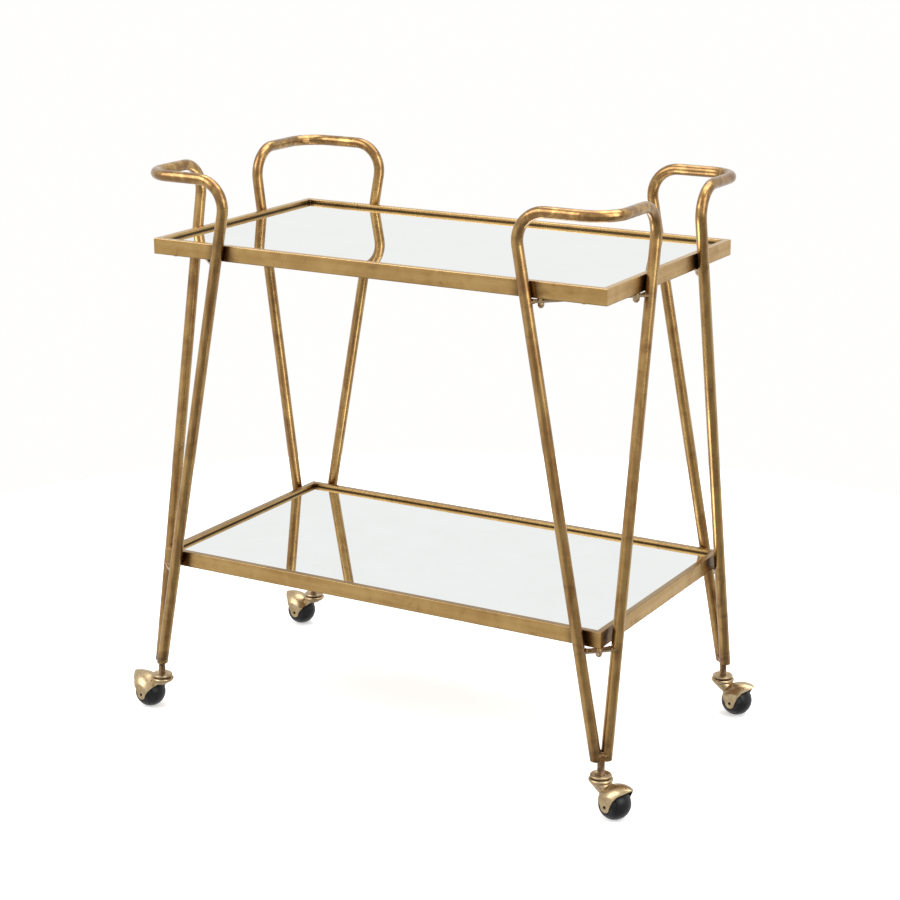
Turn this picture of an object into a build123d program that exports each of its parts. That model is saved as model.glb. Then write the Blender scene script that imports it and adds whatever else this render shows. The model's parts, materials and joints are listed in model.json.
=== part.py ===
"""Bar cart on four ball casters.

Two mirror-topped trays hang between four legs. Each leg is one bent tube: it rises from a foot,
leans away from the tray corner, bends over into a handle and comes back down beside itself.
Frame: X along the trays, -Y the front, +Z up. Origin: on the floor under the middle of the cart.
"""

from build123d import *
from math import sqrt
import os

os.makedirs("parts", exist_ok=True)

# ---- Trays (mm) ----
tray_length = 762.0
tray_depth = 424.0
top_tray_height = 764.0
bottom_tray_height = 270.0
rail_height = 24.0
rail_width = 10.0
rail_wall = 1.2
rail_edge_radius = 1.0
mirror_recess = 6.0
mirror_thickness = 4.0
mirror_bevel = 0.8
panel_clearance = 0.6
ledge_width = 16.0
ledge_thickness = 3.0
ledge_rise = 2.0

# ---- Legs and handles ----
tube_diameter = 17.0
tube_wall = 1.5
tube_gap = 0.1
leg_spread = 125.0
leg_stand_off = 4.0
meet_height = 88.0
foot_height = 82.0
handle_height = 862.0
handle_bend = 42.0
handle_corner_bend = 46.0
insert_diameter = 15.0
insert_height = 13.0
seat_clearance = 0.05

# ---- Straps and screws ----
strap_width = 14.0
strap_thickness = 3.0
strap_drop = 2.6
spacer_diameter = 9.0
bolt_diameter = 5.0
bolt_head_diameter = 9.5
bolt_head_height = 6.4
bolt_reach = 11.0
bolt_inset = 6.0
hole_clearance = 0.2
rail_screw_inset = 37.0
rail_screw_diameter = 3.5
rail_screw_head = 7.0
rail_screw_head_height = 1.6

# ---- Casters ----
ball_diameter = 48.0
ball_half_width = 20.6
ball_trail = 27.0
tread_half_width = 15.0
tread_groove = 0.5
axle_diameter = 5.0
axle_recess = 0.5
running_clearance = 0.06
hood_gap = 1.0
hood_wall = 1.3
ear_gap = 0.5
ear_radius = 8.2
neck_radius = 12.0
neck_back = 13.0
neck_rise = 8.0
race_diameter = 36.0
race_height = 6.0
race_rounding = 1.4
plate_height = 49.5
plate_rim = 2.0
swivel_gap = 0.6
cup_diameter = 32.0
cup_height = 4.6
cup_rounding = 1.4
cup_rim = 3.2
cup_depth = 2.2
cup_hub = 2.6
stem_diameter = 11.0
kingpin_diameter = 7.0
kingpin_head_diameter = 11.0
kingpin_head_height = 1.8

# Points of the hood's side outline, measured forward and up from the centre of the ball.
beak_tip = (32.0, 28.8)
visor_bend = (18.5, 20.0)
visor_root = (13.0, 11.0)
neck_root = (-17.0, 13.0)
neck_edge = (-30.0, 22.0)

# Each corner: side along X, side along Y, and the way its caster trails, in degrees about +Z.
corners = {
    "front_right": (1, -1, -15),
    "front_left": (-1, -1, 174),
    "back_left": (-1, 1, 178),
    "back_right": (1, 1, -8),
}

# ---- Values that follow ----
half_length = tray_length / 2
half_depth = tray_depth / 2
tube_radius = tube_diameter / 2
# The board fills the rail's height between the mirror and the ledge, which stays inside it.
panel_stack = mirror_recess + mirror_thickness + ledge_thickness + ledge_rise
board_thickness = rail_height - panel_stack
tube_offset = tube_radius + tube_gap
outward_lean = leg_stand_off / (top_tray_height - bottom_tray_height)


def offset_at(height):
    """Distance of a tube's centre line outside the rail's face, at a height."""
    return tube_offset + outward_lean * (top_tray_height - height)


# The two tubes of a leg touch where their centres are one diameter apart.
meet_spread = tube_diameter / sqrt(2) - offset_at(meet_height)
lean = (leg_spread - meet_spread) / (top_tray_height - meet_height)


def spread_at(height):
    """Distance of a tube's centre line from the tray corner, along the rail, at a height."""
    return meet_spread + lean * (height - meet_height)


def front_tube_point(height):
    """Centre of the front-right leg's tube that runs beside the long rail."""
    return Vector(half_length - spread_at(height), -half_depth - offset_at(height), height)


def side_tube_point(height):
    """Centre of the front-right leg's tube that runs beside the short rail."""
    return Vector(half_length + offset_at(height), -half_depth + spread_at(height), height)


def at_corner(shape, side_x, side_y):
    """Mirror a piece made for the front-right corner to another corner."""
    if side_x < 0:
        shape = mirror(shape, about=Plane.YZ, mode=Mode.PRIVATE)
    if side_y > 0:
        shape = mirror(shape, about=Plane.XZ, mode=Mode.PRIVATE)
    return shape


# The stem stands midway between the two tube ends of a leg.
stem_outset = (offset_at(foot_height) - spread_at(foot_height)) / 2
stem_x = half_length + stem_outset
stem_y = half_depth + stem_outset
leg_mirror = Plane(origin=(half_length, -half_depth, 0), x_dir=(1, -1, 0), z_dir=(1, 1, 0))

# ---- Rails: mitred box section ----
top_strap_level = top_tray_height - rail_height - strap_drop - strap_thickness
bottom_strap_level = bottom_tray_height - rail_height - strap_drop - strap_thickness
top_strap_middle = top_strap_level + strap_thickness / 2
# A top strap runs at 45 degrees, so it crosses a rail this far from the corner.
strap_bolt_inset = spread_at(top_strap_middle) - offset_at(top_strap_middle) - bolt_inset
corner_bolt_inset = rail_width / 2
trays = {"top": top_tray_height, "bottom": bottom_tray_height}
# For each tray, a strap bolt's distance from the rail's end and from its outer face.
bolt_insets = {"top": (strap_bolt_inset, bolt_inset), "bottom": (corner_bolt_inset,) * 2}

for tray, tray_height in trays.items():
    sides = {
        "front": (tray_length, tray_depth, 0),
        "right": (tray_depth, tray_length, 90),
        "back": (tray_length, tray_depth, 180),
        "left": (tray_depth, tray_length, 270),
    }
    for side, (run, across, turn) in sides.items():
        with BuildPart() as rail:
            section = Plane(
                origin=(-run / 2, -across / 2 + rail_width / 2, tray_height - rail_height / 2),
                x_dir=(0, 1, 0),
                z_dir=(1, 0, 0),
            )
            with BuildSketch(section):
                RectangleRounded(rail_width, rail_height, rail_edge_radius)
                Rectangle(
                    rail_width - 2 * rail_wall, rail_height - 2 * rail_wall, mode=Mode.SUBTRACT
                )
            extrude(amount=run)
            for end in (-1, 1):
                mitre = Plane(
                    origin=(end * run / 2, -across / 2, 0), x_dir=(0, 0, 1), z_dir=(end, 1, 0)
                )
                split(bisect_by=mitre, keep=Keep.BOTTOM)
            underside = Plane.XY.offset(tray_height - rail_height)
            along, inward = bolt_insets[tray]
            bolt_places = [(end * (run / 2 - along), -across / 2 + inward) for end in (-1, 1)]
            with BuildSketch(underside):
                with Locations(*bolt_places):
                    Circle(bolt_diameter / 2 + hole_clearance)
            extrude(amount=rail_wall, mode=Mode.SUBTRACT)
            if tray == "top" and run == tray_length:
                screw_places = [
                    (end * (run / 2 - rail_screw_inset), -across / 2 + rail_width / 2)
                    for end in (-1, 1)
                ]
                with BuildSketch(underside):
                    with Locations(*screw_places):
                        Circle(rail_screw_diameter / 2 + seat_clearance)
                extrude(amount=rail_wall, mode=Mode.SUBTRACT)
        rail.part = rail.part.rotate(Axis.Z, turn)
        rail.part.label = f"{tray}_rail_{side}"
        export_step(rail.part, f"parts/{tray}_rail_{side}.step")

# ---- Mirrors, the boards under them and the ledges that carry the boards ----
opening_length = tray_length - 2 * rail_width
opening_depth = tray_depth - 2 * rail_width

for tray, tray_height in trays.items():
    mirror_bottom = tray_height - mirror_recess - mirror_thickness
    board_bottom = mirror_bottom - board_thickness

    with BuildPart() as mirror_panel:
        with BuildSketch(Plane.XY.offset(mirror_bottom)):
            Rectangle(opening_length - 2 * panel_clearance, opening_depth - 2 * panel_clearance)
        extrude(amount=mirror_thickness)
        chamfer(mirror_panel.edges().group_by(Axis.Z)[-1], mirror_bevel)
    mirror_panel.part.label = f"{tray}_mirror"
    export_step(mirror_panel.part, f"parts/{tray}_mirror.step")

    with BuildPart() as board:
        with BuildSketch(Plane.XY.offset(board_bottom)):
            Rectangle(opening_length - 2 * panel_clearance, opening_depth - 2 * panel_clearance)
        extrude(amount=board_thickness)
    board.part.label = f"{tray}_board"
    export_step(board.part, f"parts/{tray}_board.step")

    for side, side_y in (("front", -1), ("back", 1)):
        with BuildPart() as ledge:
            with BuildSketch(Plane.XY.offset(board_bottom - ledge_thickness)):
                with Locations((0, side_y * (opening_depth - ledge_width) / 2)):
                    Rectangle(opening_length, ledge_width)
            extrude(amount=ledge_thickness)
        ledge.part.label = f"{tray}_ledge_{side}"
        export_step(ledge.part, f"parts/{tray}_ledge_{side}.step")

# ---- One leg: half of the bent tube, mirrored across the corner's diagonal ----
foot_start = front_tube_point(foot_height - tube_diameter)
shoulder = front_tube_point(handle_height)
handle_corner = Vector(side_tube_point(handle_height).X, shoulder.Y, handle_height)
past_corner = side_tube_point(handle_height)

with BuildPart() as half_leg:
    with BuildLine() as tube_path:
        FilletPolyline(
            foot_start,
            shoulder,
            handle_corner,
            past_corner,
            radius=[handle_bend, handle_corner_bend],
        )
    with BuildSketch(Plane(origin=foot_start, z_dir=shoulder - foot_start)):
        Circle(tube_radius)
        Circle(tube_radius - tube_wall, mode=Mode.SUBTRACT)
    sweep(path=tube_path.wires()[0])
    split(bisect_by=leg_mirror, keep=Keep.BOTTOM)
    split(bisect_by=Plane.XY.offset(foot_height), keep=Keep.TOP)

with BuildPart() as corner_leg:
    add(half_leg.part)
    mirror(half_leg.part, about=leg_mirror)
    with BuildSketch(Plane.XY.offset(foot_height)):
        with Locations((stem_x, -stem_y)):
            Circle(insert_diameter / 2 + seat_clearance)
    extrude(amount=insert_height + seat_clearance, mode=Mode.SUBTRACT)

with BuildPart() as corner_insert:
    with BuildSketch(Plane.XY.offset(foot_height)):
        with Locations((stem_x, -stem_y)):
            Circle(insert_diameter / 2)
            Circle(stem_diameter / 2 + seat_clearance, mode=Mode.SUBTRACT)
    extrude(amount=insert_height)

# Straight bars along both tubes of the leg trim the straps to butt against them.
with BuildPart() as tube_bars:
    with BuildSketch(Plane(origin=foot_start, z_dir=shoulder - foot_start)):
        Circle(tube_radius + seat_clearance)
    extrude(amount=(shoulder - foot_start).length)
    mirror(tube_bars.part, about=leg_mirror)

# ---- Straps: straight under the top tray, bowed round the corner under the bottom tray ----
strap_top_end = front_tube_point(top_strap_level)
strap_top_far = side_tube_point(top_strap_level)
strap_low_end = front_tube_point(bottom_strap_level)
strap_low_far = side_tube_point(bottom_strap_level)
corner_bolt = (half_length - corner_bolt_inset, -half_depth + corner_bolt_inset)

with BuildPart() as corner_top_strap:
    with BuildSketch(Plane.XY.offset(top_strap_level)):
        with BuildLine():
            Line((strap_top_end.X, strap_top_end.Y), (strap_top_far.X, strap_top_far.Y))
        trace(line_width=strap_width)
    extrude(amount=strap_thickness)
    with BuildSketch(Plane.XY.offset(top_strap_level)):
        with Locations(
            (half_length - strap_bolt_inset, -half_depth + bolt_inset),
            (half_length - bolt_inset, -half_depth + strap_bolt_inset),
        ):
            Circle(bolt_diameter / 2 + hole_clearance)
    extrude(amount=strap_thickness, mode=Mode.SUBTRACT)
    add(tube_bars.part, mode=Mode.SUBTRACT)

with BuildPart() as corner_bottom_strap:
    with BuildSketch(Plane.XY.offset(bottom_strap_level)):
        with BuildLine():
            ThreePointArc(
                (strap_low_end.X, strap_low_end.Y), corner_bolt, (strap_low_far.X, strap_low_far.Y)
            )
        trace(line_width=strap_width)
    extrude(amount=strap_thickness)
    with BuildSketch(Plane.XY.offset(bottom_strap_level)):
        with Locations(corner_bolt):
            Circle(bolt_diameter / 2 + hole_clearance)
    extrude(amount=strap_thickness, mode=Mode.SUBTRACT)
    add(tube_bars.part, mode=Mode.SUBTRACT)

for corner, (side_x, side_y, trail_turn) in corners.items():
    with BuildPart() as leg:
        add(at_corner(corner_leg.part, side_x, side_y))
    leg.part.label = f"leg_{corner}"
    export_step(leg.part, f"parts/leg_{corner}.step")

    with BuildPart() as foot_insert:
        add(at_corner(corner_insert.part, side_x, side_y))
    foot_insert.part.label = f"foot_insert_{corner}"
    export_step(foot_insert.part, f"parts/foot_insert_{corner}.step")

    with BuildPart() as top_strap:
        add(at_corner(corner_top_strap.part, side_x, side_y))
    top_strap.part.label = f"top_strap_{corner}"
    export_step(top_strap.part, f"parts/top_strap_{corner}.step")

    with BuildPart() as bottom_strap:
        add(at_corner(corner_bottom_strap.part, side_x, side_y))
    bottom_strap.part.label = f"bottom_strap_{corner}"
    export_step(bottom_strap.part, f"parts/bottom_strap_{corner}.step")

# ---- Bolts with domed heads under the straps, and the small screws under the long rails ----
def domed_screw(shank, head, head_height, reach):
    """Half profile of a dome-headed screw, head down, with its seat at the origin."""
    dome = head_height - shank / 4
    with BuildSketch() as profile:
        with BuildLine():
            Polyline(
                (0, -head_height), (0, reach), (shank / 2, reach), (shank / 2, 0), (head / 2, 0)
            )
            Line((head / 2, 0), (head / 2, -head_height + dome))
            TangentArc((0, -head_height), (head / 2, -head_height + dome), tangent=(1, 0))
        make_face()
    return profile.sketch


bolt_profile = domed_screw(bolt_diameter, bolt_head_diameter, bolt_head_height, bolt_reach)
screw_profile = domed_screw(
    rail_screw_diameter, rail_screw_head, rail_screw_head_height, bolt_reach
)

top_bolt_places = [
    (side_x * (half_length - inset_x), side_y * (half_depth - inset_y))
    for side_x in (-1, 1)
    for side_y in (-1, 1)
    for inset_x, inset_y in ((strap_bolt_inset, bolt_inset), (bolt_inset, strap_bolt_inset))
]
bottom_bolt_places = [
    (side_x * corner_bolt[0], side_y * corner_bolt[1]) for side_x in (-1, 1) for side_y in (-1, 1)
]

with BuildPart() as top_strap_bolts:
    for x, y in top_bolt_places:
        seat = (x, y, top_strap_level)
        with BuildSketch(Plane(origin=seat, x_dir=(1, 0, 0), z_dir=(0, -1, 0))):
            add(bolt_profile)
        revolve(axis=Axis(seat, (0, 0, 1)))
top_strap_bolts.part.label = "top_strap_bolts"
export_step(top_strap_bolts.part, "parts/top_strap_bolts.step")

with BuildPart() as bottom_strap_bolts:
    for x, y in bottom_bolt_places:
        seat = (x, y, bottom_strap_level)
        with BuildSketch(Plane(origin=seat, x_dir=(1, 0, 0), z_dir=(0, -1, 0))):
            add(bolt_profile)
        revolve(axis=Axis(seat, (0, 0, 1)))
bottom_strap_bolts.part.label = "bottom_strap_bolts"
export_step(bottom_strap_bolts.part, "parts/bottom_strap_bolts.step")

with BuildPart() as strap_spacers:
    for level, places in (
        (top_strap_level, top_bolt_places),
        (bottom_strap_level, bottom_bolt_places),
    ):
        with BuildSketch(Plane.XY.offset(level + strap_thickness)):
            with Locations(*places):
                Circle(spacer_diameter / 2)
                Circle(bolt_diameter / 2 + hole_clearance, mode=Mode.SUBTRACT)
        extrude(amount=strap_drop)
strap_spacers.part.label = "strap_spacers"
export_step(strap_spacers.part, "parts/strap_spacers.step")

with BuildPart() as rail_screws:
    for side_x in (-1, 1):
        for side_y in (-1, 1):
            seat = (
                side_x * (half_length - rail_screw_inset),
                side_y * (half_depth - rail_width / 2),
                top_tray_height - rail_height,
            )
            with BuildSketch(Plane(origin=seat, x_dir=(1, 0, 0), z_dir=(0, -1, 0))):
                add(screw_profile)
            revolve(axis=Axis(seat, (0, 0, 1)))
rail_screws.part.label = "rail_screws"
export_step(rail_screws.part, "parts/rail_screws.step")

# ---- One caster, made with its stem on the Z axis and its ball trailing along +X ----
ball_radius = ball_diameter / 2
hood_inner = ball_radius + hood_gap
hood_outer = hood_inner + hood_wall
hood_half_width = ball_half_width + ear_gap + hood_wall
axle_radius = axle_diameter / 2
kingpin_radius = kingpin_diameter / 2
plate_radius = race_diameter / 2 - plate_rim
race_top = plate_height + race_height
cup_bottom = race_top + swivel_gap
cup_top = cup_bottom + cup_height
stem_top = foot_height + insert_height
head_top = plate_height - hood_wall - swivel_gap
ball_centre = Vector(ball_trail, 0, ball_radius)
beak_line = Vector(beak_tip[0], 0, beak_tip[1])
far = 2 * (beak_line.length + ball_diameter)
side_plane = Plane(origin=ball_centre, x_dir=(1, 0, 0), z_dir=(0, -1, 0))
beak_plane = Plane(origin=ball_centre, x_dir=beak_line, z_dir=(0, -1, 0))


def nose_tip(inset):
    """Distance from the ball's centre to the tip of the hood's nose, inset from its outside."""
    nose_arc = (beak_line.length**2 + hood_outer**2) / (2 * hood_outer)
    return sqrt((nose_arc - inset) ** 2 - (nose_arc - hood_outer) ** 2)


def helmet_profile(radius, tip):
    """Half outline of a ball drawn out to a nose, lying along the sketch's X axis."""
    with BuildSketch() as profile:
        with BuildLine():
            Line((-radius, 0), (tip, 0))
            TangentArc((0, radius), (tip, 0), tangent=(1, 0))
            CenterArc((0, 0), radius, 90, 90)
        make_face()
    return profile.sketch


with BuildPart() as caster_stem:
    with BuildSketch(Plane.XZ):
        with BuildLine():
            Polyline(
                (0, head_top - kingpin_head_height),
                (kingpin_head_diameter / 2, head_top - kingpin_head_height),
                (kingpin_head_diameter / 2, head_top),
                (kingpin_radius, head_top),
                (kingpin_radius, cup_bottom),
                (stem_diameter / 2, cup_bottom),
                (stem_diameter / 2, stem_top),
                (0, stem_top),
                close=True,
            )
        make_face()
    revolve(axis=Axis.Z)

with BuildPart() as caster_cup:
    with BuildSketch(Plane.XZ):
        with BuildLine():
            Polyline(
                (stem_diameter / 2 + seat_clearance, cup_bottom),
                (cup_diameter / 2 - cup_rounding, cup_bottom),
                (cup_diameter / 2, cup_bottom + cup_rounding),
                (cup_diameter / 2, cup_top - cup_rounding),
                (cup_diameter / 2 - cup_rounding, cup_top),
                (cup_diameter / 2 - cup_rim, cup_top),
                (stem_diameter / 2 + cup_hub, cup_top - cup_depth),
                (stem_diameter / 2 + seat_clearance, cup_top - cup_depth),
                close=True,
            )
        make_face()
    revolve(axis=Axis.Z)

with BuildPart() as caster_race:
    with BuildSketch(Plane.XZ):
        with BuildLine():
            Polyline(
                (kingpin_radius + running_clearance, plate_height),
                (plate_radius, plate_height),
                (race_diameter / 2, plate_height + plate_rim),
                (race_diameter / 2, race_top - race_rounding),
                (race_diameter / 2 - race_rounding, race_top),
                (kingpin_radius + running_clearance, race_top),
                close=True,
            )
        make_face()
    revolve(axis=Axis.Z)

with BuildPart() as caster_ball:
    with Locations(ball_centre):
        Sphere(ball_radius)
        Box(ball_diameter, 2 * ball_half_width, ball_diameter, mode=Mode.INTERSECT)
    with BuildSketch(Plane.XZ.offset(-ball_radius)):
        with Locations((ball_trail, ball_radius)):
            Circle(axle_radius + running_clearance)
    extrude(amount=ball_diameter, mode=Mode.SUBTRACT)
    groove_radius = sqrt(ball_radius**2 - tread_half_width**2)
    for side_y in (-1, 1):
        with Locations(
            Plane(origin=ball_centre + Vector(0, side_y * tread_half_width, 0), z_dir=(0, 1, 0))
        ):
            Torus(groove_radius, tread_groove, mode=Mode.SUBTRACT)

axle_half_length = hood_half_width - axle_recess
with BuildPart() as caster_axle:
    with BuildSketch(Plane.XZ.offset(-axle_half_length)):
        with Locations((ball_trail, ball_radius)):
            Circle(axle_radius)
    extrude(amount=2 * axle_half_length)

with BuildPart() as hood_outside:
    with BuildSketch(beak_plane):
        add(helmet_profile(hood_outer, beak_line.length))
    revolve(axis=Axis(ball_centre, beak_line))
    with Locations(ball_centre):
        Box(far, 2 * hood_half_width, far, mode=Mode.INTERSECT)

with BuildPart() as hood_inside:
    with BuildSketch(beak_plane):
        add(helmet_profile(hood_inner, nose_tip(hood_wall)))
    revolve(axis=Axis(ball_centre, beak_line))
    with Locations(ball_centre):
        Box(far, 2 * (hood_half_width - hood_wall), far, mode=Mode.INTERSECT)

with BuildPart() as caster_hood:
    add(hood_outside.part)
    with BuildSketch(Plane.XY.offset(plate_height)):
        Circle(plate_radius)
    with BuildSketch(Plane.XY.offset(ball_radius + neck_rise)):
        with Locations((ball_trail - neck_back, 0)):
            Circle(neck_radius)
    loft()
    with BuildSketch(Plane.XY.offset(plate_height - hood_wall)):
        Circle(plate_radius - hood_wall)
    with BuildSketch(Plane.XY.offset(ball_radius + neck_rise - hood_wall)):
        with Locations((ball_trail - neck_back, 0)):
            Circle(neck_radius - hood_wall)
    loft(mode=Mode.SUBTRACT)
    with BuildSketch(Plane.XY.offset(plate_height)):
        Circle(race_diameter / 2 + ear_gap)
    extrude(amount=race_height + swivel_gap, mode=Mode.SUBTRACT)
    add(hood_inside.part, mode=Mode.SUBTRACT)
    with BuildSketch(side_plane):
        with BuildLine():
            ThreePointArc((-ear_radius, 0), (0, -ear_radius), (ear_radius, 0))
            Polyline(
                (ear_radius, 0),
                visor_root,
                visor_bend,
                beak_tip,
                (far, beak_tip[1]),
                (far, far),
                (-far, far),
                (-far, neck_edge[1]),
                neck_edge,
                neck_root,
                (-ear_radius, 0),
            )
        make_face()
    extrude(amount=far, both=True, mode=Mode.INTERSECT)
    with BuildSketch(Plane.XY.offset(plate_height - 2 * hood_wall)):
        Circle(kingpin_radius + running_clearance)
    extrude(amount=4 * hood_wall, mode=Mode.SUBTRACT)
    with BuildSketch(Plane.XZ.offset(-far)):
        with Locations((ball_trail, ball_radius)):
            Circle(axle_radius + seat_clearance)
    extrude(amount=2 * far, mode=Mode.SUBTRACT)

caster_pieces = {
    "caster_stem": caster_stem,
    "caster_cup": caster_cup,
    "caster_race": caster_race,
    "caster_hood": caster_hood,
    "caster_axle": caster_axle,
    "caster_ball": caster_ball,
}

for corner, (side_x, side_y, trail_turn) in corners.items():
    place = Location((side_x * stem_x, side_y * stem_y, 0), (0, 0, trail_turn))
    for piece, source in caster_pieces.items():
        with BuildPart() as placed:
            add(source.part.moved(place))
        placed.part.label = f"{piece}_{corner}"
        export_step(placed.part, f"parts/{piece}_{corner}.step")
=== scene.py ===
"""Looks of a bar cart: antique brass tubes and rails, mirrored trays and hooded ball casters."""

import json
import math

import bpy
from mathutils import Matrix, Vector


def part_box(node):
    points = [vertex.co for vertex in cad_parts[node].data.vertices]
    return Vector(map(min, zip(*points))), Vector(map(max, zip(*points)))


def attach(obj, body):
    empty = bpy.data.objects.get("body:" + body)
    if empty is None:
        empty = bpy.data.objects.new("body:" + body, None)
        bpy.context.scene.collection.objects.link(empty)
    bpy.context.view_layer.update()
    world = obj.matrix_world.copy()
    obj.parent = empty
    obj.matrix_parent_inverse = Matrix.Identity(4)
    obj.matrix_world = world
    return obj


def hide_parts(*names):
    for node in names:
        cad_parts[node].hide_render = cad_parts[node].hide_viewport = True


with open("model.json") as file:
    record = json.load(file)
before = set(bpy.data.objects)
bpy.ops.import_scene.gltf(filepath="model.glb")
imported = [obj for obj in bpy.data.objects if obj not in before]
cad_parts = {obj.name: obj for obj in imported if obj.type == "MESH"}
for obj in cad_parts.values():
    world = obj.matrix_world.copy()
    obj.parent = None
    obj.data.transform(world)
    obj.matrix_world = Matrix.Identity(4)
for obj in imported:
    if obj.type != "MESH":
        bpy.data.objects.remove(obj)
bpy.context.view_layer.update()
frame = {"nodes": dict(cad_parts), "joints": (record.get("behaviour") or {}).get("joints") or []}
nodes = frame["nodes"]
scene = bpy.context.scene

CORNERS = ("front_right", "front_left", "back_left", "back_right")
SIDES = {
    "front_right": (1, -1),
    "front_left": (-1, -1),
    "back_left": (-1, 1),
    "back_right": (1, 1),
}

# ---------------------------------------------------------------- places read from the frame (m)
rail_low, rail_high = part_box("top_rail_front")
TRAY_HALF = (rail_high.x, -rail_low.y)
RAIL_WIDTH = rail_high.y - rail_low.y
TRAY_TOP = {"top": rail_high.z, "bottom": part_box("bottom_rail_front")[1].z}
MIRROR_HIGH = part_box("top_mirror")[1].z
MIRROR_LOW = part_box("bottom_mirror")[1].z
TRAY_MIDDLE = (TRAY_TOP["top"] + TRAY_TOP["bottom"]) / 2
RAIL_BELOW_MIRROR = MIRROR_HIGH - rail_low.z
STRAP_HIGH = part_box("top_strap_front_right")[1].z
STRAP_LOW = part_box("bottom_strap_front_right")[1].z
STRAP_THICKNESS = STRAP_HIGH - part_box("top_strap_front_right")[0].z
FOOT_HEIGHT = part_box("leg_front_right")[0].z
HANDLE_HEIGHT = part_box("leg_front_right")[1].z

# The legs are bent from tube of this radius. Each tube's centre stands TUBE_STAND outside the
# rail at the top tray and moves out by TUBE_FLARE for each metre further down. LEG_SPREAD_HIGH is
# its distance from the tray's corner at the top mirror, and LEG_LEAN is what each metre down takes
# off that distance.
TUBE_RADIUS = 0.0085
TUBE_STAND = 0.0086
TUBE_FLARE = 0.0081
LEG_SPREAD_HIGH = 0.1227
LEG_LEAN = 0.188
LEG_SPREAD_LOW = LEG_SPREAD_HIGH - LEG_LEAN * (MIRROR_HIGH - MIRROR_LOW)


def tube_centre(height, beside_long_rail):
    """Centre of a front right leg tube at a height, beside the long rail or the short one."""
    out = TUBE_STAND + TUBE_FLARE * (TRAY_TOP["top"] - height)
    spread = LEG_SPREAD_HIGH - LEG_LEAN * (MIRROR_HIGH - height)
    if beside_long_rail:
        return Vector((TRAY_HALF[0] - spread, -TRAY_HALF[1] - out, height))
    return Vector((TRAY_HALF[0] + out, -TRAY_HALF[1] + spread, height))


# ---------------------------------------------------------------- shader wiring
class Wire:
    """A shader socket that arithmetic works on: every sum adds its own Math node."""

    def __init__(self, tree, socket=None):
        self.tree = tree
        self.socket = socket

    def node(self, kind, settings=None, sockets=None, out=0):
        """Add a node, set its settings first and then its sockets, and give one output."""
        made = self.tree.nodes.new(kind)
        for name, value in (settings or {}).items():
            setattr(made, name, value)
        for name, value in (sockets or {}).items():
            if isinstance(value, Wire):
                self.tree.links.new(value.socket, made.inputs[name])
            else:
                made.inputs[name].default_value = value
        return Wire(self.tree, made.outputs[out])

    def maths(self, operation, *values):
        return self.node("ShaderNodeMath", {"operation": operation}, dict(enumerate(values)))

    def __add__(self, other):
        return self.maths("ADD", self, other)

    def __radd__(self, other):
        return self.maths("ADD", other, self)

    def __sub__(self, other):
        return self.maths("SUBTRACT", self, other)

    def __rsub__(self, other):
        return self.maths("SUBTRACT", other, self)

    def __mul__(self, other):
        return self.maths("MULTIPLY", self, other)

    def __truediv__(self, other):
        return self.maths("DIVIDE", self, other)

    def __abs__(self):
        return self.maths("ABSOLUTE", self)

    def ramp(self, low, high, start=0.0, end=1.0):
        """Smoothly carry this value from low..high to start..end."""
        return self.node(
            "ShaderNodeMapRange",
            {"interpolation_type": "SMOOTHSTEP"},
            {"Value": self, "From Min": low, "From Max": high, "To Min": start, "To Max": end},
        )

    def parts(self):
        """The three numbers of a vector."""
        split = self.node("ShaderNodeSeparateXYZ", None, {"Vector": self})
        outputs = split.socket.node.outputs
        return [Wire(self.tree, outputs[axis]) for axis in range(3)]


def mix(factor, first, second):
    """Blend two colours by a factor wire."""
    return factor.node(
        "ShaderNodeMix", {"data_type": "RGBA"}, {0: factor, 6: first, 7: second}, out=2
    )


def colour(red, green, blue):
    """An opaque colour."""
    return (red, green, blue, 1.0)


class Finish:
    """A material under construction, with its object coordinates and its main shader."""

    def __init__(self, name):
        self.material = bpy.data.materials.new(name)
        self.material.use_nodes = True
        tree = self.material.node_tree
        self.shader = tree.nodes["Principled BSDF"]
        self.tree = tree
        self.place = Wire(tree).node("ShaderNodeTexCoord", out=3)

    def noise(self, scale, stretch=(1, 1, 1), detail=4.0, rough=0.55, twist=0.0):
        """Noise between 0 and 1; a small stretch along an axis draws it out along that axis."""
        placed = self.place.node(
            "ShaderNodeMapping", None, {"Vector": self.place, "Scale": stretch}
        )
        return self.place.node(
            "ShaderNodeTexNoise",
            None,
            {
                "Vector": placed,
                "Scale": scale,
                "Detail": detail,
                "Roughness": rough,
                "Distortion": twist,
            },
        )

    def set(self, **values):
        """Set sockets of the main shader; underscores in a name stand for spaces."""
        for name, value in values.items():
            socket = self.shader.inputs[name.replace("_", " ")]
            if isinstance(value, Wire):
                self.tree.links.new(value.socket, socket)
            else:
                socket.default_value = value
        return self

    def bump(self, height, depth, strength=1.0):
        """Raise the surface by a height wire; depth is in metres."""
        bumped = self.place.node(
            "ShaderNodeBump",
            None,
            {"Height": height, "Distance": depth, "Strength": strength},
        )
        self.tree.links.new(bumped.socket, self.shader.inputs["Normal"])
        return self


def aged(finish, clouds, streaks, gold, brown, dark, wear):
    """Brass colour: gold turning brown in clouds and along the rub marks, with dark specks."""
    blotches = finish.noise(34.0, detail=3.0, rough=0.5, twist=1.2)
    specks = finish.noise(420.0, detail=2.0, rough=0.5)
    age = (clouds * 0.4 + streaks * 0.45 + blotches * 0.3).ramp(0.42, 0.74)
    base = mix(age * wear, colour(*gold), colour(*brown))
    pits = specks.ramp(0.60, 0.74)
    tarnish = blotches.ramp(0.60, 0.76) * 0.3 + pits * 0.2
    height = streaks * 0.6 + specks * 0.1 + blotches * 0.3
    return mix(tarnish, base, colour(*dark)), height, pits


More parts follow.
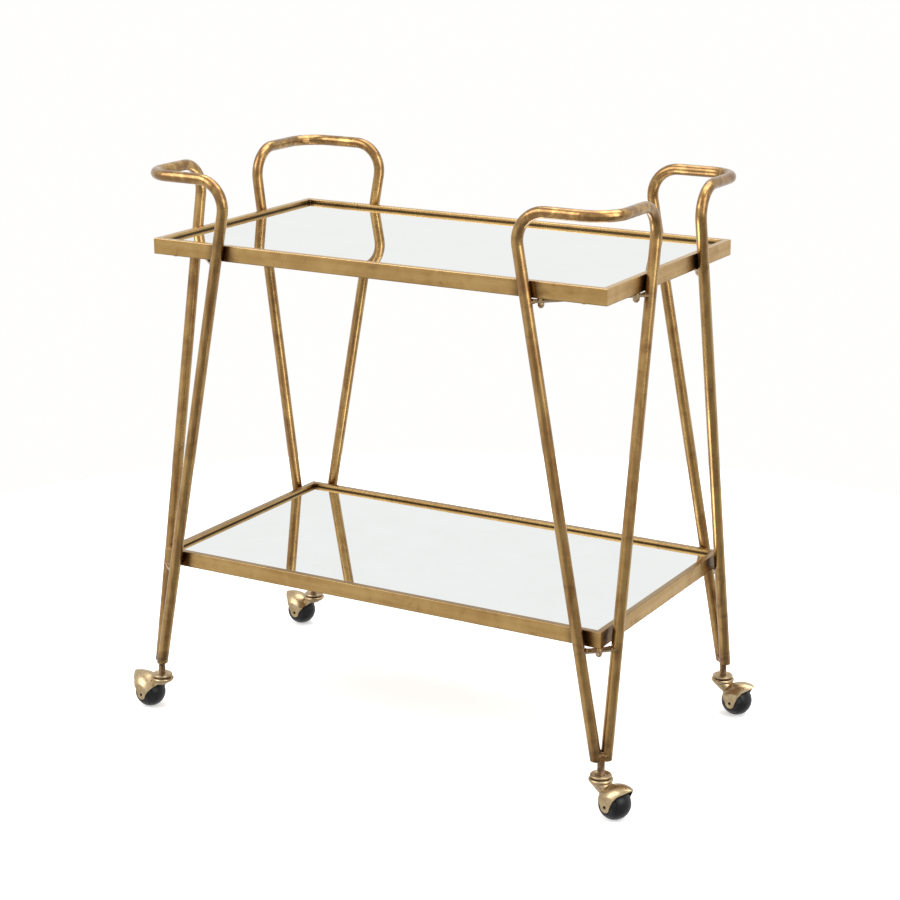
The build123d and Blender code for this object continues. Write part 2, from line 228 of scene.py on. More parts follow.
def rail_brass(name, along, across, gold, brown, dark):
    """Satin brass of a tray rail, with painted reflection and shade of the legs beside them,
    painted shade along the mirror, and painted highlight and shade on its rims and lower edges.
    """
    finish = Finish(name)
    places = finish.place.parts()
    run, side, rise = abs(places[along]), abs(places[across]), places[2]
    grain = [1.0, 1.0, 1.0]
    grain[along] = 0.04
    clouds = finish.noise(9.0, detail=5.0, rough=0.6, twist=0.6)
    streaks = finish.noise(90.0, stretch=grain, detail=6.0, rough=0.6)
    base, height, pits = aged(finish, clouds, streaks, gold, brown, dark, 0.75)

    half_run = TRAY_HALF[along]
    outer, inner = TRAY_HALF[across], TRAY_HALF[across] - RAIL_WIDTH
    upper = rise.maths("GREATER_THAN", rise, TRAY_MIDDLE)

    # Painted reflection and shade of the legs, with some tarnish, on the outer face beside them.
    leg_shade_reach = 0.022
    crossing = half_run - (LEG_SPREAD_LOW + upper * (LEG_SPREAD_HIGH - LEG_SPREAD_LOW))
    beside = abs(run - crossing).ramp(TUBE_RADIUS, TUBE_RADIUS + leg_shade_reach, 1.0, 0.0)
    leg_shade = beside * side.ramp(outer - 0.0015, outer - 0.0005)
    base = mix(leg_shade * (0.55 + clouds * 0.6), base, colour(0.10, 0.052, 0.02))

    # Painted shade of the gap along the mirror, nearly black, on the inner face.
    mirror_line = MIRROR_LOW + upper * (MIRROR_HIGH - MIRROR_LOW)
    over_mirror = rise - mirror_line
    inner_face = side.ramp(inner, inner + 0.0012, 1.0, 0.0)
    mirror_line_shade = over_mirror.ramp(0.0012, 0.0034, 1.0, 0.0) * inner_face
    base = mix(mirror_line_shade * 0.9, base, colour(0.035, 0.02, 0.01))

    # Scorched in the inner corners, where the rails are welded.
    weld = (run - half_run).ramp(-0.022, -0.012) * side.ramp(inner, inner + 0.001, 1.0, 0.0)
    base = mix(weld * clouds.ramp(0.35, 0.6) * 0.8, base, colour(0.12, 0.06, 0.025))

    # Painted highlight on the top tray's rim, painted shade on the bottom tray's rim, and painted
    # shade along the lower edges.
    lip = over_mirror.ramp(0.0050, 0.0058)
    lower_edge_shade = (over_mirror + RAIL_BELOW_MIRROR).ramp(0.0004, 0.0022, 1.0, 0.0)
    base = mix(lip * upper * 0.25, base, colour(0.66, 0.52, 0.33))
    base = mix(lip * (1 - upper) * 0.7, base, colour(0.26, 0.175, 0.085))
    base = mix(lower_edge_shade * 0.6, base, colour(0.16, 0.10, 0.045))
    shine = (streaks * 0.6 + clouds * 0.4).ramp(0.3, 0.7, 0.20, 0.36) + pits * 0.1
    finish.set(Base_Color=base, Metallic=1.0, Roughness=shine)
    finish.bump(height, 0.00006, 0.4)
    return finish.material


def tube_brass_finish():
    """Lacquered brass of the bent legs: long brown streaks, darker at handles, welds and feet."""
    gold, brown, dark = (0.50, 0.312, 0.105), (0.28, 0.138, 0.041), (0.10, 0.045, 0.015)
    handle_bend = 0.07
    finish = Finish("tube_brass")
    rise = finish.place.parts()[2]
    clouds = finish.noise(11.0, detail=5.0, rough=0.6, twist=0.8)
    drawn = finish.noise(130.0, stretch=(1, 1, 0.03), detail=4.0, rough=0.5)
    swirl = finish.noise(60.0, detail=5.0, rough=0.55, twist=0.8)
    handle = rise.ramp(HANDLE_HEIGHT - handle_bend, HANDLE_HEIGHT - 0.02)
    streaks = drawn * (1 - handle) + swirl * handle
    base, height, _ = aged(finish, clouds, streaks, gold, brown, dark, 1.0)
    grip = handle * swirl.ramp(0.36, 0.58)
    foot = rise.ramp(FOOT_HEIGHT + 0.004, FOOT_HEIGHT + 0.045, 1.0, 0.0)
    scorch = sum(
        abs(rise - level).ramp(0.004, 0.022, 1.0, 0.0) for level in (STRAP_LOW, STRAP_HIGH)
    )
    base = mix(grip * 0.7, base, colour(0.20, 0.102, 0.030))
    base = mix(foot * swirl.ramp(0.38, 0.62) * 0.75, base, colour(0.11, 0.055, 0.02))
    base = mix(scorch * swirl.ramp(0.45, 0.65) * 0.45, base, colour(0.14, 0.07, 0.025))
    shine = (streaks * 0.2 + clouds * 0.8).ramp(0.3, 0.7, 0.23, 0.30)
    finish.set(Base_Color=base, Metallic=1.0, Roughness=shine)
    finish.set(Coat_Weight=0.5, Coat_Roughness=0.16, Coat_IOR=1.5)
    finish.bump(height, 0.00005, 0.025)
    return finish.material


def cast_brass(name, gold, brown, dark):
    """Satin brass of small cast and pressed pieces: casters, nuts and welds."""
    finish = Finish(name)
    clouds = finish.noise(45.0, detail=5.0, rough=0.6, twist=0.6)
    swirl = finish.noise(160.0, detail=5.0, rough=0.6, twist=0.6)
    base, height, pits = aged(finish, clouds, swirl, gold, brown, dark, 0.9)
    shine = (swirl * 0.5 + clouds * 0.5).ramp(0.3, 0.7, 0.20, 0.40) + pits * 0.1
    finish.set(Base_Color=base, Metallic=1.0, Roughness=shine)
    finish.bump(height, 0.00007, 0.4)
    return finish.material


def mirror_silver():
    """Flat glass mirror: silver with a faint green cast, and dust that dulls it a little."""
    finish = Finish("mirror_silver")
    dust = finish.noise(14.0, detail=6.0, rough=0.7)
    haze = dust.ramp(0.35, 0.8, 0.004, 0.03)
    tint = mix(dust.ramp(0.3, 0.8), colour(0.925, 0.955, 0.95), colour(0.895, 0.92, 0.915))
    finish.set(Base_Color=tint, Metallic=1.0, Roughness=haze)
    return finish.material


def black_rubber():
    """Satin black of the balls, scuffed a little where they have rolled."""
    finish = Finish("ball_rubber")
    scuffs = finish.noise(90.0, stretch=(1, 0.3, 1), detail=6.0, rough=0.65)
    fine = finish.noise(900.0, detail=2.0)
    tone = mix(scuffs.ramp(0.45, 0.75), colour(0.006, 0.006, 0.007), colour(0.020, 0.019, 0.019))
    shine = scuffs.ramp(0.3, 0.75, 0.30, 0.5)
    finish.set(Base_Color=tone, Roughness=shine, Specular_IOR_Level=0.32)
    finish.bump(fine * 0.6 + scuffs * 0.4, 0.00008, 0.4)
    return finish.material


def bronzed_steel(name, clean, dark):
    """Bronzed steel of the stems, and the dark steel of the axles, darkened to near black as
    painted shade of the holes they sit in.
    """
    finish = Finish(name)
    clouds = finish.noise(120.0, detail=5.0, rough=0.6)
    fine = finish.noise(800.0, detail=2.0)
    tone = mix(clouds.ramp(0.35, 0.7), colour(*clean), colour(*dark))
    finish.set(Base_Color=tone, Metallic=1.0, Roughness=clouds.ramp(0.3, 0.7, 0.28, 0.48))
    finish.bump(clouds * 0.5 + fine * 0.5, 0.0001, 0.4)
    return finish.material


def fibreboard():
    """Raw fibreboard under the mirrors."""
    finish = Finish("fibreboard")
    fibres = finish.noise(160.0, stretch=(0.3, 1, 1), detail=8.0, rough=0.7)
    clouds = finish.noise(12.0, detail=4.0)
    tone = mix(
        (fibres * 0.7 + clouds * 0.3).ramp(0.35, 0.7),
        colour(0.30, 0.19, 0.11),
        colour(0.17, 0.10, 0.055),
    )
    finish.set(Base_Color=tone, Roughness=fibres.ramp(0.3, 0.7, 0.7, 0.9))
    finish.bump(fibres, 0.0003, 0.5)
    return finish.material


def shade_strip_finish():
    """Near-black finish of the strip round a mirror: painted shade of the gap, mottled a little."""
    finish = Finish("mirror_sealant")
    shade_mottle = finish.noise(200.0, detail=4.0)
    tone = mix(shade_mottle.ramp(0.35, 0.7), colour(0.035, 0.024, 0.014), colour(0.07, 0.05, 0.03))
    finish.set(Base_Color=tone, Roughness=shade_mottle.ramp(0.3, 0.7, 0.45, 0.7))
    finish.bump(shade_mottle, 0.0002, 0.5)
    return finish.material


# The three colours of each brass are its gold, its brown and its dark spots.
long_rail_brass = rail_brass(
    "long_rail_brass", 0, 1, (0.53, 0.345, 0.135), (0.36, 0.205, 0.070), (0.11, 0.062, 0.024)
)
# The short rails are the same brass as the long ones in lighter colours: painted light.
short_rail_lit_brass = rail_brass(
    "short_rail_lit_brass", 1, 0, (0.60, 0.40, 0.165), (0.42, 0.25, 0.09), (0.11, 0.062, 0.024)
)
tube_brass = tube_brass_finish()
caster_brass = cast_brass(
    "caster_brass", (0.56, 0.44, 0.27), (0.37, 0.26, 0.14), (0.13, 0.085, 0.045)
)
fitting_brass = cast_brass(
    "fitting_brass", (0.60, 0.46, 0.28), (0.40, 0.27, 0.15), (0.14, 0.08, 0.04)
)
weld_brass = cast_brass(
    "weld_brass", (0.56, 0.38, 0.19), (0.26, 0.14, 0.06), (0.07, 0.035, 0.015)
)
scorched_brass = cast_brass(
    "scorched_brass", (0.22, 0.12, 0.05), (0.09, 0.045, 0.02), (0.03, 0.015, 0.008)
)
silver = mirror_silver()
rubber = black_rubber()
steel = bronzed_steel("bronzed_steel", (0.46, 0.33, 0.20), (0.15, 0.09, 0.05))
# The axles' near-black colours are dark steel and painted shade of the axle holes in the hoods.
oiled = bronzed_steel("oiled_steel", (0.075, 0.055, 0.04), (0.03, 0.022, 0.017))
board = fibreboard()
sealant = shade_strip_finish()


def give(piece, material):
    """Put one material in the first slot of a piece and drop any others."""
    piece.data.materials.clear()
    piece.data.materials.append(material)


for name, node in nodes.items():
    if "mirror" in name:
        give(node, silver)
    elif "board" in name:
        give(node, board)
    elif "ledge" in name or name.endswith(("rail_front", "rail_back")):
        give(node, long_rail_brass)
    elif name.endswith(("rail_left", "rail_right")):
        give(node, short_rail_lit_brass)
    elif "ball" in name:
        give(node, rubber)
    elif "stem" in name or "axle" in name:
        give(node, steel)
    elif "caster" in name:
        give(node, caster_brass)
    elif "strap" in name or "screw" in name:
        give(node, fitting_brass)
    else:
        give(node, tube_brass)


# ---------------------------------------------------------------- bench tools for new pieces
def clear_bench():
    """Leave edit mode and deselect everything."""
    if bpy.context.mode != "OBJECT":
        bpy.ops.object.mode_set(mode="OBJECT")
    bpy.ops.object.select_all(action="DESELECT")


def pick(*pieces):
    """Select these pieces alone; the last is the active one."""
    clear_bench()
    for piece in pieces:
        piece.select_set(True)
        bpy.context.view_layer.objects.active = piece


def apply_modifier(piece, kind, **settings):
    """Add a modifier with its settings and apply it."""
    pick(piece)
    modifier = piece.modifiers.new(kind.lower(), kind)
    for name, value in settings.items():
        setattr(modifier, name, value)
    bpy.ops.object.modifier_apply(modifier=modifier.name)


def smooth(piece, angle=35):
    """Shade a piece smooth, apart from edges sharper than an angle."""
    pick(piece)
    bpy.ops.object.shade_smooth_by_angle(angle=math.radians(angle))


def round_edges(piece, width, segments=3, angle=30):
    """Bevel every edge sharper than an angle, then shade the piece smooth."""
    apply_modifier(
        piece,
        "BEVEL",
        width=width,
        segments=segments,
        limit_method="ANGLE",
        angle_limit=math.radians(angle),
        use_clamp_overlap=True,
    )
    smooth(piece)


def turned(name, outline, steps=48):
    """Turn an outline of (radius, height) points about +Z, as on a lathe."""
    clear_bench()
    bpy.ops.mesh.primitive_plane_add(size=0.001)
    piece = bpy.context.object
    piece.name = name
    bpy.ops.object.mode_set(mode="EDIT")
    bpy.ops.mesh.select_all(action="SELECT")
    bpy.ops.mesh.merge(type="CENTER")
    at = Vector((0, 0, 0))
    for index, (radius, height) in enumerate(outline):
        step = Vector((radius, 0, height)) - at
        if index == 0:
            bpy.ops.transform.translate(value=step)
        else:
            bpy.ops.mesh.extrude_vertices_move(TRANSFORM_OT_translate={"value": step})
        at += step
    bpy.ops.mesh.select_all(action="SELECT")
    bpy.ops.mesh.spin(steps=steps, angle=math.tau, center=(0, 0, 0), axis=(0, 0, 1))
    bpy.ops.mesh.select_all(action="SELECT")
    bpy.ops.mesh.remove_doubles(threshold=0.000002)
    bpy.ops.mesh.normals_make_consistent(inside=False)
    clear_bench()
    return piece


def put(piece, place, turn=(0, 0, 0), size=(1, 1, 1)):
    """Move a piece into place and write the place into its mesh."""
    piece.location = place
    piece.rotation_euler = turn
    piece.scale = size
    pick(piece)
    bpy.ops.object.transform_apply(location=True, rotation=True, scale=True)
    return piece


def copy_of(piece, name):
    """A copy with its own mesh."""
    pick(piece)
    bpy.ops.object.duplicate()
    made = bpy.context.object
    made.name = name
    return made


def joined(pieces, name):
    """Join pieces into one object."""
    pick(*pieces)
    bpy.ops.object.join()
    made = bpy.context.object
    made.name = name
    made.data.name = name
    return made


def scrap(piece):
    """Delete a piece that is no longer needed."""
    pick(piece)
    bpy.ops.object.delete()


def fit_up(piece, material, body, slot, *old):
    """Give a new piece its finish and its body, and hide the CAD nodes that it stands in for."""
    give(piece, material)
    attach(piece, body)
    if old:
        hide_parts(*old)
    return piece


def mirrored(point, corner):
    """A point of the front right corner carried to another corner."""
    side_x, side_y = SIDES[corner]
    return Vector((point.x * side_x, -point.y * side_y, point.z))


def heading(direction):
    """Turn about +Z that lays the X axis along a direction."""
    return math.atan2(direction.y, direction.x)


# ---------------------------------------------------------------- nuts under the straps
def cap_nut():
    """Domed hexagon nut over a washer, hanging down from its seat at the origin."""
    hexagon_radius, hexagon_depth = 0.0052, 0.0045
    dome_radius, dome_depth, collar = 0.0040, 0.0034, 0.0006
    dome_start, dome_seat = 0.0052, 0.0056
    washer_radius, washer_bore, washer_depth = 0.0062, 0.0026, 0.0010
    clear_bench()
    bpy.ops.mesh.primitive_cylinder_add(
        vertices=6, radius=hexagon_radius, depth=hexagon_depth, location=(0, 0, 0)
    )
    hexagon = put(bpy.context.object, (0, 0, -washer_depth - hexagon_depth / 2))
    round_edges(hexagon, 0.0005, 3)
    outline = [(dome_radius + collar, -dome_start), (dome_radius + collar, -dome_seat)]
    for step in range(6):
        turn = math.radians(18 * step)
        outline.append((dome_radius * math.cos(turn), -dome_seat - dome_depth * math.sin(turn)))
    dome = turned("dome", outline, 24)
    smooth(dome, 60)
    ring = turned(
        "washer",
        [
            (washer_bore, 0),
            (washer_radius, 0),
            (washer_radius, -washer_depth),
            (washer_bore, -washer_depth),
            (washer_bore, 0),
        ],
        32,
    )
    round_edges(ring, 0.0002, 2)
    return joined([hexagon, dome, ring], "cap_nut")


def strap_holes(tray, corner):
    """Middles of the strap bolts of one corner, from how far the bolts' heads reach."""
    low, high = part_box(f"{tray}_strap_bolts")
    reach = (high - low) / 2
    head_radius = 0.00475
    far = Vector((reach.x - head_radius, head_radius - reach.y, 0))
    if tray == "bottom":
        return [mirrored(far, corner)]
    # A top strap runs at 45 degrees, so the distances of a bolt from the two outer faces of the
    # rails add up to the same as those of the tube that the strap starts from.
    near = tube_centre(STRAP_HIGH, True)
    inset = TRAY_HALF[0] - near.x - (-near.y - TRAY_HALF[1])
    along = inset - (TRAY_HALF[0] - far.x)
    spots = [
        Vector((TRAY_HALF[0] - along, far.y, 0)),
        Vector((far.x, -TRAY_HALF[1] + along, 0)),
    ]
    return [mirrored(spot, corner) for spot in spots]


nut = cap_nut()
for tray, level in (("top", STRAP_HIGH), ("bottom", STRAP_LOW)):
    nuts = []
    for corner in CORNERS:
        for spot in strap_holes(tray, corner):
            spot.z = level - STRAP_THICKNESS
            tightened = heading(spot) + len(nuts)  # every nut stops at a turn of its own
            nuts.append(put(copy_of(nut, "nut"), spot, (0, 0, tightened)))
    fit_up(
        joined(nuts, f"{tray}_cap_nuts"), fitting_brass, "cart", "bolt_brass", f"{tray}_strap_bolts"
    )
scrap(nut)


# ---------------------------------------------------------------- welds
def weld_bead(name, length, width, seed):
    """A lumpy bead of weld metal, long along X."""
    clear_bench()
    bpy.ops.mesh.primitive_uv_sphere_add(segments=32, ring_count=20, radius=0.5)
    bead = bpy.context.object
    bead.name = name
    bpy.ops.object.mode_set(mode="EDIT")
    bpy.ops.mesh.select_all(action="SELECT")
    bpy.ops.transform.resize(value=(length, width, width))
    clear_bench()
    lumps = bpy.data.textures.new(f"lumps_{name}", "CLOUDS")
    lumps.noise_scale = 0.0035
    # The lumps depend on the place, so each bead is lumped at a place of its own.
    along, aside = seed * 0.031, seed * 0.017
    put(bead, (along, aside, 0))
    apply_modifier(bead, "DISPLACE", texture=lumps, strength=width * 0.45, mid_level=0.5)
    put(bead, (-along, -aside, 0))
    smooth(bead, 70)
    return bead


STRAP_BEAD = (0.0125, 0.0042)
STRAP_BEAD_GAP = 0.0004
FOOT_BEAD = (0.0165, 0.0086)
FOOT_BEAD_STRETCH = 1.45
FOOT_BEAD_RISE = 0.0060
FOOT_BEAD_OUT = 0.0043
TRAY_BEAD_WIDTH = 0.0026

weld_count = 0
for corner in CORNERS:
    beads = []
    for level in (STRAP_HIGH, STRAP_LOW):
        middle = level - STRAP_THICKNESS / 2
        first, second = tube_centre(middle, True), tube_centre(middle, False)
        for here, there in ((first, second), (second, first)):
            inward = (there - here).normalized()
            spot = mirrored(here + inward * (TUBE_RADIUS + STRAP_BEAD_GAP), corner)
            across = heading(mirrored(there, corner) - mirrored(here, corner)) + math.pi / 2
            for rise in (STRAP_THICKNESS / 2, -STRAP_THICKNESS / 2):
                weld_count += 1
                bead = weld_bead("bead", *STRAP_BEAD, weld_count)
                beads.append(put(bead, spot + Vector((0, 0, rise)), (0, 0, across)))
    fit_up(joined(beads, f"strap_welds_{corner}"), weld_brass, "cart", "tube_brass")

    stem_low, stem_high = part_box(f"caster_stem_{corner}")
    stem = (stem_low + stem_high) / 2
    across = Vector((SIDES[corner][0], -SIDES[corner][1], 0)).normalized()
    fills = []
    for side in (-1, 1):
        out = Vector((SIDES[corner][0], SIDES[corner][1], 0)).normalized() * side
        weld_count += 1
        bead = weld_bead("bead", *FOOT_BEAD, weld_count)
        put(bead, (0, 0, 0), (0, 0, 0), (1, 1, FOOT_BEAD_STRETCH))
        spot = Vector((stem.x, stem.y, FOOT_HEIGHT + FOOT_BEAD_RISE)) + out * FOOT_BEAD_OUT
        fills.append(put(bead, spot, (0, 0, heading(across))))
    fit_up(joined(fills, f"foot_weld_{corner}"), tube_brass, "cart", "tube_brass")

    seams = []
    for tray, mirror_top in (("top", MIRROR_HIGH), ("bottom", MIRROR_LOW)):
        weld_count += 1
        gap = TRAY_TOP[tray] - mirror_top
        bead = weld_bead("bead", gap * 0.9, TRAY_BEAD_WIDTH, weld_count)
        middle = mirror_top + gap * 0.45
        inner = Vector((TRAY_HALF[0] - RAIL_WIDTH, RAIL_WIDTH - TRAY_HALF[1], middle))
        seams.append(put(bead, mirrored(inner, corner), (0, math.pi / 2, 0)))
    fit_up(joined(seams, f"tray_corner_welds_{corner}"), scorched_brass, "cart", "rail_brass")


# ---------------------------------------------------------------- dark strips round the mirrors: painted shade
def mirror_seal(tray, top):
    """A dark strip in the gap between a mirror and its rails, standing in for the gap's shade:
    painted shade.
    """
    low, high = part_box(f"{tray}_mirror")
    overlap, sunk, thickness = 0.0005, 0.0012, 0.0020
    size = (high.x - low.x + 2 * overlap, high.y - low.y + 2 * overlap, 1)
    clear_bench()
    bpy.ops.mesh.primitive_plane_add(size=1.0, location=(0, 0, 0))
    seal = bpy.context.object
    seal.name = f"{tray}_mirror_seal"
    put(seal, (0, 0, top - sunk), (0, 0, 0), size)
    bpy.ops.object.mode_set(mode="EDIT")
    bpy.ops.mesh.select_all(action="SELECT")
    bpy.ops.mesh.inset(thickness=overlap * 2)
    bpy.ops.mesh.delete(type="FACE")
    clear_bench()
    apply_modifier(seal, "SOLIDIFY", thickness=thickness, offset=0.0)
    round_edges(seal, 0.0002, 2)
    return fit_up(seal, sealant, "cart", "backing_board")


mirror_seal("top", MIRROR_HIGH)
mirror_seal("bottom", MIRROR_LOW)


# ---------------------------------------------------------------- casters
JOINTS = {joint["name"]: joint for joint in frame["joints"]}
stem_floor, stem_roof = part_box("caster_stem_front_left")
cup_floor, cup_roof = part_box("caster_cup_front_left")
race_floor, race_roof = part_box("caster_race_front_left")
STEM_RADIUS = (stem_roof.x - stem_floor.x) / 2
CUP_RADIUS = (cup_roof.x - cup_floor.x) / 2
RACE_RADIUS = (race_roof.x - race_floor.x) / 2
PIN_RADIUS = 0.0035
PIN_HEAD = 0.0018
AXLE_RADIUS = 0.0025
AXLE_HALF_LENGTH = 0.0219
RUNNING_GAP = 0.00006
THREAD_PITCH = 0.0024
THREAD_DEPTH = 0.0011


def threaded_stem():
    """Stem with a rolled thread over a headed kingpin."""
    shoulder, roof = cup_floor.z, stem_roof.z
    outline = [
        (0, stem_floor.z),
        (STEM_RADIUS, stem_floor.z),
        (STEM_RADIUS, stem_floor.z + PIN_HEAD),
        (PIN_RADIUS, stem_floor.z + PIN_HEAD),
        (PIN_RADIUS, shoulder),
    ]
    turns = int((roof - shoulder) / THREAD_PITCH)
    for turn in range(turns):
        start = shoulder + turn * THREAD_PITCH
        outline += [
            (STEM_RADIUS - THREAD_DEPTH, start),
            (STEM_RADIUS, start + THREAD_PITCH * 0.35),
            (STEM_RADIUS, start + THREAD_PITCH * 0.65),
        ]
    outline += [(STEM_RADIUS - THREAD_DEPTH, roof), (0, roof)]
    stem = turned("caster_stem_threaded", outline, 40)
    smooth(stem, 50)
    return stem


def rolled_cup():
    """Cup washer with a rolled rim and a sunk face round the stem."""
    low, high = cup_floor.z, cup_roof.z
    height = high - low
    outline = [
        (STEM_RADIUS + 0.0001, low),
        (CUP_RADIUS - 0.0024, low),
        (CUP_RADIUS - 0.0012, low + height * 0.10),
        (CUP_RADIUS - 0.0002, low + height * 0.34),
        (CUP_RADIUS, low + height * 0.60),
        (CUP_RADIUS - 0.0004, low + height * 0.84),
        (CUP_RADIUS - 0.0014, low + height * 0.98),
        (CUP_RADIUS - 0.0026, high),
        (CUP_RADIUS - 0.0038, low + height * 0.90),
        (CUP_RADIUS - 0.0054, low + height * 0.62),
        (STEM_RADIUS + 0.0030, low + height * 0.50),
        (STEM_RADIUS + 0.0022, low + height * 0.66),
        (STEM_RADIUS + 0.0001, low + height * 0.66),
        (STEM_RADIUS + 0.0001, low),
    ]
    cup = turned("caster_cup_rolled", outline, 64)
    smooth(cup, 50)
    return cup


def rolled_race():
    """Race ring with a rounded shoulder, a sunk upper face and a tucked-in lower edge."""
    low, high = race_floor.z, race_roof.z
    height = high - low
    bore = PIN_RADIUS + RUNNING_GAP
    outline = [
        (bore, low),
        (RACE_RADIUS - 0.0022, low),
        (RACE_RADIUS - 0.0010, low + height * 0.16),
        (RACE_RADIUS - 0.0001, low + height * 0.34),
        (RACE_RADIUS, low + height * 0.52),
        (RACE_RADIUS - 0.0003, low + height * 0.72),
        (RACE_RADIUS - 0.0012, low + height * 0.90),
        (RACE_RADIUS - 0.0026, high),
        (RACE_RADIUS - 0.0040, high - 0.0004),
        (bore, high - 0.0004),
        (bore, low),
    ]
    race = turned("caster_race_rolled", outline, 64)
    smooth(race, 50)
    return race


def treaded_ball(radius, half_width, bore):
    """Ball about its axle's line: flat sides, sunk hubs, shoulders of the tread and a fine seam."""
    tread_half, seam_half = 0.015, 0.0004
    hub_depth, seam_depth, groove, step = 0.0016, 0.0003, 0.0006, 0.00036
    groove_angle = 0.03
    shoulder_steps, tread_steps = 9, 11
    flat = math.sqrt(radius**2 - half_width**2)
    half = [
        (bore, half_width - hub_depth),
        (flat * 0.50, half_width - hub_depth),
        (flat * 0.56, half_width - hub_depth / 4),
        (flat * 0.92, half_width),
    ]
    flat_angle = math.asin(half_width / radius)
    tread_angle = math.asin(tread_half / radius)
    seam_angle = math.asin(seam_half / radius)
    for index in range(shoulder_steps + 1):
        share = index / shoulder_steps
        angle = flat_angle + (tread_angle + groove_angle - flat_angle) * share
        half.append((radius * math.cos(angle) - step * share, radius * math.sin(angle)))
    across = (radius - groove * 2) * math.cos(tread_angle)
    half.append((across, (radius - groove) * math.sin(tread_angle)))
    for index in range(tread_steps + 1):
        share = index / tread_steps
        angle = tread_angle - groove_angle + (seam_angle - tread_angle + groove_angle) * share
        half.append((radius * math.cos(angle), radius * math.sin(angle)))
    half.append((radius - seam_depth, 0))
    outline = half + [(reach, -height) for reach, height in reversed(half[:-1])]
    outline.append(outline[0])
    ball = turned("caster_ball_treaded", outline, 72)
    smooth(ball, 22)
    return ball


def peened_axle(radius, half_length):
    """Axle with peened ends: a dished face inside a rolled lip."""
    lip, dish = radius * 0.3, 0.0016
    end = [
        (0, half_length - dish),
        (radius * 0.50, half_length - dish),
        (radius * 0.72, half_length - lip),
        (radius * 0.92, half_length),
        (radius, half_length - lip * 0.4),
    ]
    outline = end + [(reach, -height) for reach, height in reversed(end)]
    axle = turned("caster_axle_peened", outline, 32)
    smooth(axle, 40)
    return axle


ball_low, ball_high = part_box("caster_ball_front_left")
BALL_RADIUS = (ball_high.z - ball_low.z) / 2
BALL_HALF_WIDTH = 0.0206
patterns = {
    "stem": threaded_stem(),
    "cup": rolled_cup(),
    "race": rolled_race(),
    "ball": treaded_ball(BALL_RADIUS, BALL_HALF_WIDTH, AXLE_RADIUS + RUNNING_GAP),
    "axle": peened_axle(AXLE_RADIUS, AXLE_HALF_LENGTH),
}
for corner in CORNERS:
    roll, swivel = JOINTS[f"roll_{corner}"], JOINTS[f"swivel_{corner}"]
    stem_line = Vector((swivel["pos_m"][0], swivel["pos_m"][1], 0))
    axis = Vector(roll["axis"])
    lie = (math.pi / 2, 0, heading(axis) + math.pi / 2)
    settings = {
        "stem": (stem_line, (0, 0, 0), steel, "cart", "stem_steel"),
        "cup": (stem_line, (0, 0, 0), caster_brass, "cart", "caster_brass"),
        "race": (stem_line, (0, 0, 0), caster_brass, f"swivel_{corner}", "caster_brass"),
        "ball": (Vector(roll["pos_m"]), lie, rubber, f"wheel_{corner}", "ball_black"),
        "axle": (Vector(roll["pos_m"]), lie, oiled, f"swivel_{corner}", "stem_steel"),
    }
    for kind, (place, turn, material, body, slot) in settings.items():
        pattern = patterns[kind]
        piece = put(copy_of(pattern, f"{pattern.name}_{corner}"), place, turn)
        fit_up(piece, material, body, slot, f"caster_{kind}_{corner}")

    # The hood is a cleaned copy of the CAD one, with its sharp rims rolled over.
    hood = copy_of(nodes[f"caster_hood_{corner}"], f"caster_hood_rolled_{corner}")
    pick(hood)
    bpy.ops.object.mode_set(mode="EDIT")
    bpy.ops.mesh.select_all(action="SELECT")
    bpy.ops.mesh.remove_doubles(threshold=0.00002)
    bpy.ops.mesh.dissolve_limited(angle_limit=math.radians(0.6))
    clear_bench()
    round_edges(hood, 0.0004, 3, 38)
    fit_up(hood, caster_brass, f"swivel_{corner}", "caster_brass", f"caster_hood_{corner}")
for pattern in patterns.values():
    scrap(pattern)


# ---------------------------------------------------------------- floor, light and camera
def studio_world():
    """White studio: even light from above, and a soft dark side below the horizon."""
    world = bpy.data.worlds.new("studio")
    world.use_nodes = True
    tree = world.node_tree
    background = tree.nodes["Background"]
    way = Wire(tree).node("ShaderNodeTexCoord")
    east, north, rise = way.parts()
    dark_side = math.radians(-35)
    level = way.maths("SQRT", east * east + north * north + 0.0001)  # never quite zero
    facing = (east * math.cos(dark_side) + north * math.sin(dark_side)) / level
    below = facing.ramp(0.10, 0.85, 0.90, 0.40)
    above = rise.ramp(-0.02, 0.16)
    glow = below * (1 - above) + above * 0.92
    # The camera sees plain white, and all else sees the glow.
    seen = way.node("ShaderNodeLightPath")
    strength = seen + (1 - seen) * glow
    tree.links.new(strength.socket, background.inputs["Strength"])
    background.inputs["Color"].default_value = colour(1.0, 0.995, 0.985)
    scene.world = world


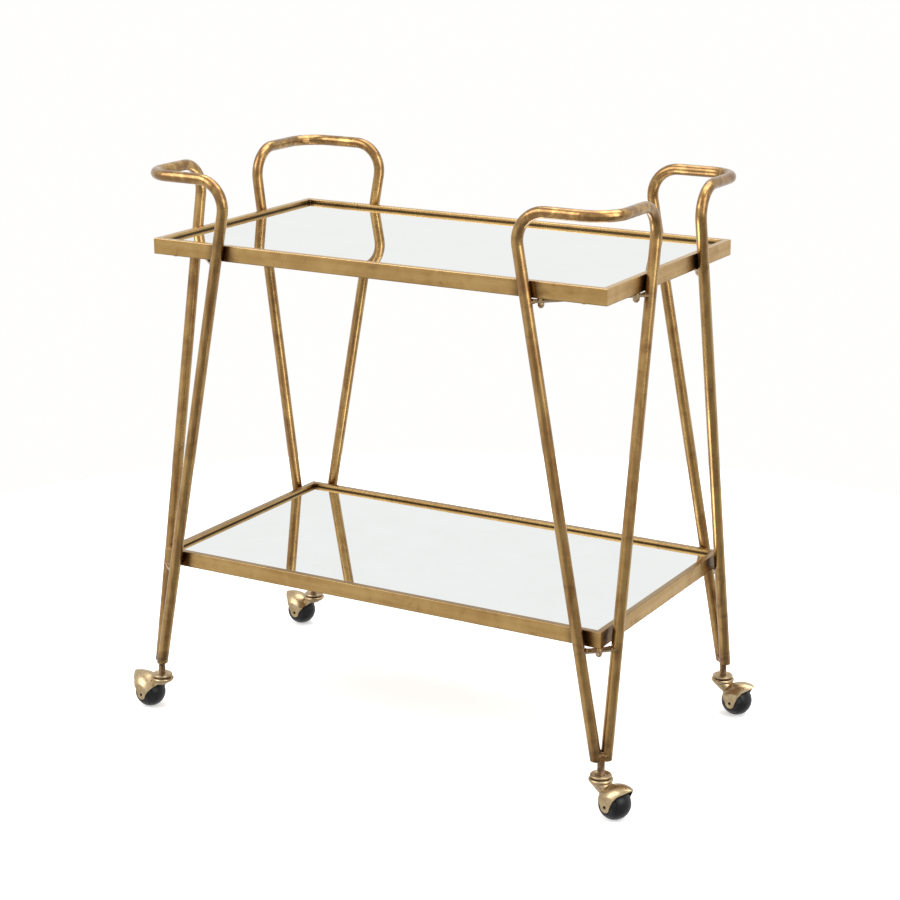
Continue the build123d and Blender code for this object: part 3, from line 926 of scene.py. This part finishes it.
def pale_floor():
    """A round white floor under the cart, clear to reflections so that metal sees past it."""
    clear_bench()
    bpy.ops.mesh.primitive_circle_add(vertices=96, radius=1.5, fill_type="NGON")
    floor = bpy.context.object
    floor.name = "floor"
    finish = Finish("floor_white")
    grain = finish.noise(3.0)
    finish.set(
        Base_Color=mix(grain, colour(0.86, 0.86, 0.86), colour(0.88, 0.88, 0.88)),
        Roughness=0.9,
        Emission_Color=colour(1, 1, 1),
        Emission_Strength=0.45,
    )
    tree = finish.tree
    clear = finish.place.node("ShaderNodeBsdfTransparent")
    glossy = finish.place.node("ShaderNodeLightPath", out=3)
    seen = finish.place.node("ShaderNodeMixShader", None, {0: glossy, 2: clear})
    tree.links.new(finish.shader.outputs["BSDF"], seen.socket.node.inputs[1])
    tree.links.new(seen.socket, tree.nodes["Material Output"].inputs["Surface"])
    floor.data.materials.append(finish.material)


def softbox(name, place, size, watts):
    """A rectangular area light that faces the middle of the cart."""
    data = bpy.data.lights.new(name, "AREA")
    data.shape = "RECTANGLE"
    data.size, data.size_y = size
    data.energy = watts
    lamp = bpy.data.objects.new(name, data)
    lamp.location = place
    lamp.rotation_euler = (CART_MIDDLE - Vector(place)).to_track_quat("-Z", "Y").to_euler()
    scene.collection.objects.link(lamp)


def aim_camera(aim, azimuth, elevation, distance, lens):
    """Camera at an azimuth and elevation, looking at a point."""
    turn, rise = math.radians(azimuth), math.radians(elevation)
    back = Vector(
        (math.sin(turn) * math.cos(rise), -math.cos(turn) * math.cos(rise), math.sin(rise))
    )
    data = bpy.data.cameras.new("camera")
    data.lens = lens
    data.sensor_width = 36.0
    camera = bpy.data.objects.new("camera", data)
    camera.location = Vector(aim) + back * distance
    camera.rotation_euler = (-back).to_track_quat("-Z", "Y").to_euler()
    scene.collection.objects.link(camera)
    scene.camera = camera


CART_MIDDLE = Vector((0, 0, 0.5))
studio_world()
pale_floor()
softbox("key_light", (-1.9, -2.3, 2.7), (2.2, 2.2), 60)
softbox("fill_light", (2.6, -0.6, 1.8), (1.6, 2.2), 30)
softbox("top_light", (0.2, 0.6, 3.2), (3.0, 2.2), 60)
aim_camera(
    aim=(0.2378, -0.3894, 0.5623), azimuth=29.87, elevation=15.94, distance=2.957, lens=88.46
)
scene.view_settings.view_transform = "Standard"
